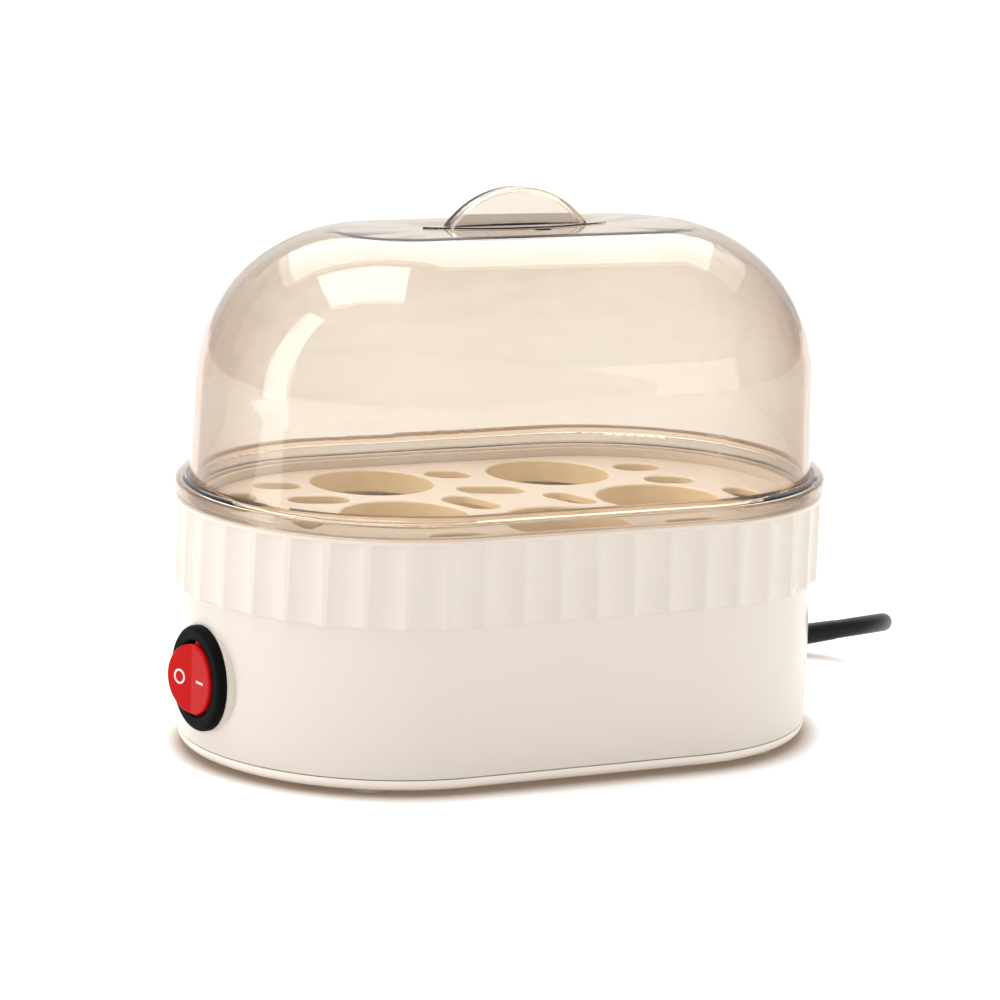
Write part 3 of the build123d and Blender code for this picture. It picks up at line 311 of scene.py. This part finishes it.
def clear_plastic(name, through, wall, rough=0.0, ior=1.5, wave=0.000008, face=(1, 1, 1), edge_tint=None):
    """Clear plastic. A wall of that thickness lets the share through of each colour pass its inside, and face its two
    surfaces, or edge_tint where they are seen at a glancing angle. Lamps reach what is behind it."""
    mat, nt, bsdf, out = material(name)
    bsdf.inputs["Base Color"].default_value = (1, 1, 1, 1)
    bsdf.inputs["Roughness"].default_value = rough
    bsdf.inputs["IOR"].default_value = ior
    bsdf.inputs["Transmission Weight"].default_value = 1.0
    bump(nt, bsdf, noise(nt, 22, 2.0), 1.0, wave)
    if edge_tint:
        graze = nt.nodes.new("ShaderNodeLayerWeight")
        graze.inputs["Blend"].default_value = 0.5
        steep = nt.nodes.new("ShaderNodeMath")
        steep.operation = "POWER"
        steep.inputs[1].default_value = 1.8
        facing = nt.nodes.new("ShaderNodeNewGeometry")
        parts = nt.nodes.new("ShaderNodeSeparateXYZ")
        upright = nt.nodes.new("ShaderNodeMath")
        upright.operation = "MULTIPLY"
        level = nt.nodes.new("ShaderNodeMapRange")
        level.inputs["From Min"].default_value = 0.15
        level.inputs["From Max"].default_value = 0.90
        level.inputs["To Min"].default_value = 1.0
        level.inputs["To Max"].default_value = 0.10
        share = nt.nodes.new("ShaderNodeMath")
        share.operation = "MULTIPLY"
        tint = nt.nodes.new("ShaderNodeMix")
        tint.data_type = "RGBA"
        tint.inputs[6].default_value = (*face, 1)
        tint.inputs[7].default_value = (*edge_tint, 1)
        nt.links.new(graze.outputs["Facing"], steep.inputs[0])
        nt.links.new(facing.outputs["Normal"], parts.inputs["Vector"])
        nt.links.new(parts.outputs["Z"], upright.inputs[0])
        nt.links.new(parts.outputs["Z"], upright.inputs[1])
        nt.links.new(upright.outputs["Value"], level.inputs["Value"])
        nt.links.new(steep.outputs["Value"], share.inputs[0])
        nt.links.new(level.outputs["Result"], share.inputs[1])
        nt.links.new(share.outputs["Value"], tint.inputs[0])
        nt.links.new(tint.outputs[2], bsdf.inputs["Base Color"])
    film = nt.nodes.new("ShaderNodeBsdfTransparent")
    film.inputs["Color"].default_value = (0.98, 0.98, 0.98, 1)
    path = nt.nodes.new("ShaderNodeLightPath")
    mix = nt.nodes.new("ShaderNodeMixShader")
    nt.links.new(path.outputs["Is Shadow Ray"], mix.inputs[0])
    nt.links.new(bsdf.outputs["BSDF"], mix.inputs[1])
    nt.links.new(film.outputs["BSDF"], mix.inputs[2])
    nt.links.new(mix.outputs["Shader"], out.inputs["Surface"])
    loss = [-math.log(t) / wall for t in through]
    inside = nt.nodes.new("ShaderNodeVolumeAbsorption")
    inside.inputs["Density"].default_value = max(loss)
    inside.inputs["Color"].default_value = (*[1 - v / max(loss) for v in loss], 1)
    nt.links.new(inside.outputs["Volume"], out.inputs["Volume"])
    return mat


ivory = plastic("ivory_shell", (0.705, 0.641, 0.566), (0.715, 0.653, 0.578), rough=(0.20, 0.24), edge=0.0004,
                patch=14)
# painted light: the bottom cover's ivory is much lighter than the shell's, standing in for light from the floor below
# its shaded underside
lit_cover_ivory = plastic("ivory_cover_painted_light", (0.925, 0.860, 0.780), (0.932, 0.868, 0.790), rough=(0.30, 0.36), edge=0.0003)
rim_ivory = plastic("ivory_rim", (0.790, 0.725, 0.640), (0.800, 0.737, 0.652), rough=(0.28, 0.33), patch=14)
# painted light: the tray's hole walls take a lighter, warmer tan than its top, standing in for light reaching into the
# holes through the amber lid
tray_ivory = plastic("ivory_tray", (0.755, 0.700, 0.645), (0.765, 0.712, 0.657), rough=(0.28, 0.33), patch=14,
                     lit_walls=(0.950, 0.810, 0.560))
# painted light: the egg seats are a lighter, warmer ivory than the tray, standing in for light reaching them through
# the lid
lit_seat_ivory = plastic("ivory_seats_painted_light", (0.950, 0.810, 0.560), (0.960, 0.825, 0.580), rough=(0.30, 0.36), patch=14)
lid_clear = clear_plastic("clear_lid", (0.945, 0.890, 0.828), 0.002, ior=1.46,
                          face=(0.818, 0.817, 0.810), edge_tint=(0.17, 0.06, 0.0))
bezel = plastic("black_bezel", (0.004, 0.004, 0.004), (0.006, 0.006, 0.006), rough=(0.42, 0.50), edge=0.0003,
                Specular_IOR_Level=0.02)
red = plastic("red_rocker", (0.46, 0.005, 0.005), (0.51, 0.008, 0.007), rough=(0.10, 0.15), edge=0.0004,
              Specular_IOR_Level=0.06)
mark = plastic("pale_mark", (0.86, 0.60, 0.58), (0.90, 0.66, 0.64), rough=(0.4, 0.5))
foot_pad = plastic("pale_foot", (0.50, 0.44, 0.36), (0.56, 0.50, 0.42), rough=(0.6, 0.75), grain=1500, depth=0.00003)
seal = plastic("seal", (0.42, 0.07, 0.04), (0.48, 0.09, 0.05), rough=(0.5, 0.6))
jacket = plastic("black_jacket", (0.006, 0.006, 0.006), (0.009, 0.009, 0.009), rough=(0.32, 0.42), grain=2500,
                 depth=0.00001, Specular_IOR_Level=0.13)
plug_black = plastic("black_plug", (0.014, 0.014, 0.014), (0.020, 0.020, 0.020), rough=(0.40, 0.55), grain=3500,
                     depth=0.00005, edge=0.0003)
# painted reflection: the steel is tinted warm ivory to stand in for the ivory around it that it reflects
pan_steel = metal("pan_steel", (0.86, 0.75, 0.56), (0.90, 0.79, 0.61), (0.36, 0.48), stretch=(0.15, 3, 1))
aluminium = metal("cast_aluminium", (0.66, 0.66, 0.67), (0.74, 0.74, 0.75), (0.35, 0.5), depth=0.00004)
heater_steel = metal("heater_tube", (0.23, 0.21, 0.20), (0.33, 0.30, 0.28), (0.35, 0.5))
zinc = metal("zinc_plate", (0.60, 0.60, 0.62), (0.72, 0.72, 0.70), (0.25, 0.4))
brass = metal("contact_brass", (0.72, 0.58, 0.30), (0.80, 0.66, 0.38), (0.22, 0.35))
nickel = metal("pin_nickel", (0.72, 0.70, 0.66), (0.80, 0.78, 0.74), (0.12, 0.22), stretch=(0.2, 2, 2), edge=0.0002)
nylon = plastic("natural_nylon", (0.62, 0.60, 0.52), (0.68, 0.66, 0.58), rough=(0.35, 0.5))
phenolic = plastic("dark_phenolic", (0.035, 0.024, 0.018), (0.055, 0.040, 0.030), rough=(0.35, 0.5))
sleeve_red = plastic("sleeve_red", (0.52, 0.05, 0.035), (0.60, 0.07, 0.05), rough=(0.4, 0.55))
wire_brown = plastic("wire_brown", (0.075, 0.030, 0.012), (0.10, 0.042, 0.018), rough=(0.35, 0.5))
wire_blue = plastic("wire_blue", (0.012, 0.05, 0.25), (0.018, 0.065, 0.31), rough=(0.35, 0.5))
wire_white = plastic("wire_white", (0.66, 0.64, 0.58), (0.72, 0.70, 0.64), rough=(0.5, 0.65), grain=2500, depth=0.00004)
lamp_glass = clear_plastic("lamp_glass", (0.98, 0.62, 0.40), 0.003)

USE = {
    "base_housing": ivory, "bottom_cover": lit_cover_ivory,
    "egg_tray": tray_ivory, "tray_rim": rim_ivory, "egg_seats": lit_seat_ivory,
    "cover_screws": zinc, "clamp_screws": zinc, "thermostat_screws": zinc, "tie_fasteners": zinc,
    "stud_nuts": zinc, "pan_tie": zinc, "element_clamp": zinc, "spreader_studs": zinc, "fuse_clip": zinc,
    "foot_front_left": foot_pad, "foot_front_right": foot_pad, "foot_rear_left": foot_pad, "foot_rear_right": foot_pad,
    "pan_gasket": seal, "heating_pan": pan_steel, "heat_spreader": aluminium, "heating_element": heater_steel,
    "element_terminals": brass, "thermostat": phenolic, "thermal_fuse": nylon,
    "lid_shell": lid_clear, "lid_handle": lid_clear,
    "switch_housing": bezel, "rocker": red, "rocker_marks": mark, "contact_plunger": nylon,
    "contact_lever": brass, "indicator_lamp": lamp_glass, "switch_terminals": brass, "crimp_sleeves": sleeve_red,
    "wire_live": wire_brown, "wire_switched": wire_brown, "wire_link": wire_white, "wire_element": wire_white,
    "wire_neutral": wire_blue,
    "cord_lead": jacket, "cord_clamp": nylon, "cord_bushing": jacket, "cord_sleeve": jacket, "plug_relief": jacket,
    "plug_body": plug_black, "plug_pins": nickel,
}
for name, mat in USE.items():
    slots = nodes[name].material_slots
    if slots:
        for s in slots:
            s.material = mat
    else:
        nodes[name].data.materials.append(mat)
lid_whole.data.materials.clear()
lid_whole.data.materials.append(lid_clear)
mains_cord.data.materials.append(jacket)
coil_tie.data.materials.append(jacket)


# ------------------------------------------------------------------
# floor, world and lights
# ------------------------------------------------------------------
floor = mesh_object("floor", [(-30000, -30000, 0), (30000, -30000, 0), (30000, 30000, 0), (-30000, 30000, 0)],
                    [(0, 1, 2, 3)], smooth=False)
floor_mat, nt, bsdf, out = material("floor_white")
# painted shadow: ambient occlusion within 9 mm darkens the floor's colour and its even glow towards brown around the
# cooker's foot, a contact shadow painted into the floor
contact_shade_ao = nt.nodes.new("ShaderNodeAmbientOcclusion")
contact_shade_ao.samples = 12
contact_shade_ao.inputs["Distance"].default_value = 0.009
depth = nt.nodes.new("ShaderNodeMapRange")
depth.inputs["From Min"].default_value = 0.50
depth.inputs["From Max"].default_value = 0.90
tone = nt.nodes.new("ShaderNodeMix")
tone.data_type = "RGBA"
tone.inputs[6].default_value = (0.33, 0.26, 0.205, 1)
tone.inputs[7].default_value = (0.77, 0.765, 0.76, 1)
nt.links.new(contact_shade_ao.outputs["AO"], depth.inputs["Value"])
nt.links.new(depth.outputs["Result"], tone.inputs[0])
nt.links.new(tone.outputs[2], bsdf.inputs["Base Color"])
nt.links.new(tone.outputs[2], bsdf.inputs["Emission Color"])
bsdf.inputs["Emission Strength"].default_value = 0.40
bsdf.inputs["Roughness"].default_value = 0.8
bsdf.inputs["Specular IOR Level"].default_value = 0.2
floor.data.materials.append(floor_mat)

# walls of light: even, but dimmer on the left, where a strip light stands, and brighter behind
world = bpy.data.worlds.new("studio")
world.use_nodes = True
scene.world = world
nt = world.node_tree
back = nt.nodes["Background"]
where = nt.nodes.new("ShaderNodeTexCoord")
apart = nt.nodes.new("ShaderNodeSeparateXYZ")
fade = nt.nodes.new("ShaderNodeMapRange")
fade.interpolation_type = "SMOOTHSTEP"
fade.inputs["From Min"].default_value = -0.9
fade.inputs["From Max"].default_value = -0.2
fade.inputs["To Min"].default_value = 0.22
fade.inputs["To Max"].default_value = 0.78
nt.links.new(where.outputs["Generated"], apart.inputs["Vector"])
nt.links.new(apart.outputs["X"], fade.inputs["Value"])
behind = nt.nodes.new("ShaderNodeMapRange")
behind.interpolation_type = "SMOOTHSTEP"
behind.inputs["From Min"].default_value = 0.3
behind.inputs["From Max"].default_value = 0.95
behind.inputs["To Min"].default_value = 1.0
behind.inputs["To Max"].default_value = 1.35
nt.links.new(apart.outputs["Y"], behind.inputs["Value"])
both = nt.nodes.new("ShaderNodeMath")
both.operation = "MULTIPLY"
nt.links.new(fade.outputs["Result"], both.inputs[0])
nt.links.new(behind.outputs["Result"], both.inputs[1])
nt.links.new(both.outputs["Value"], back.inputs["Strength"])
back.inputs["Color"].default_value = (1.0, 0.99, 0.98, 1)


def softbox(name, at, width, height, radiance, tilt=(0, 0, 0), colour=(1, 1, 1)):
    """Rectangular lamp at a place, with a given brightness of its face; with no tilt it faces down."""
    data = bpy.data.lights.new(name, "AREA")
    data.shape = "RECTANGLE"
    data.size, data.size_y = width, height
    data.energy = math.pi * radiance * width * height
    data.color = colour
    ob = add_object(name, data)
    ob.location = at
    ob.rotation_euler = [math.radians(v) for v in tilt]
    ob.visible_camera = False
    return ob


HIGH = 7.0              # height of the ceiling lamps above the lid
across, along = Vector((0.891, -0.454, 0)), Vector((0.454, 0.891, 0))
for name, u, v, width, height, radiance in (
        ("lamp_rear", -0.10, 1.15, 1.40, 1.30, 2.5),
        ("lamp_rear_wide", 0.05, 1.15, 2.00, 1.30, 0.9),
        ("lamp_window", -0.245, 0.06, 0.65, 0.59, 5.2)):
    at = (across * u + along * v) * HIGH + Vector((0, 0, HIGH + 0.13))
    softbox(name, at, width * HIGH, height * HIGH, radiance, (0, 0, -27))
softbox("lamp_strip", (-1.6, 0.15, 1.00), 0.46, 2.00, 4.4, (90, 0, -90))
softbox("card_near", (-0.56, 0.05, 0.004), 0.38, 0.17, 1.9, (180, 0, 0))
softbox("card_far", (-1.17, 0.10, 0.004), 0.84, 0.35, 2.2, (180, 0, 0))
softbox("lamp_front", (1.97, -2.52, 0.62), 1.00, 1.1, 1.2, (80, 0, 32))

scene.view_settings.view_transform = "Standard"
scene.view_settings.look = "None"
scene.view_settings.exposure = 0.0
scene.view_settings.gamma = 1.0

bpy.context.view_layer.update()
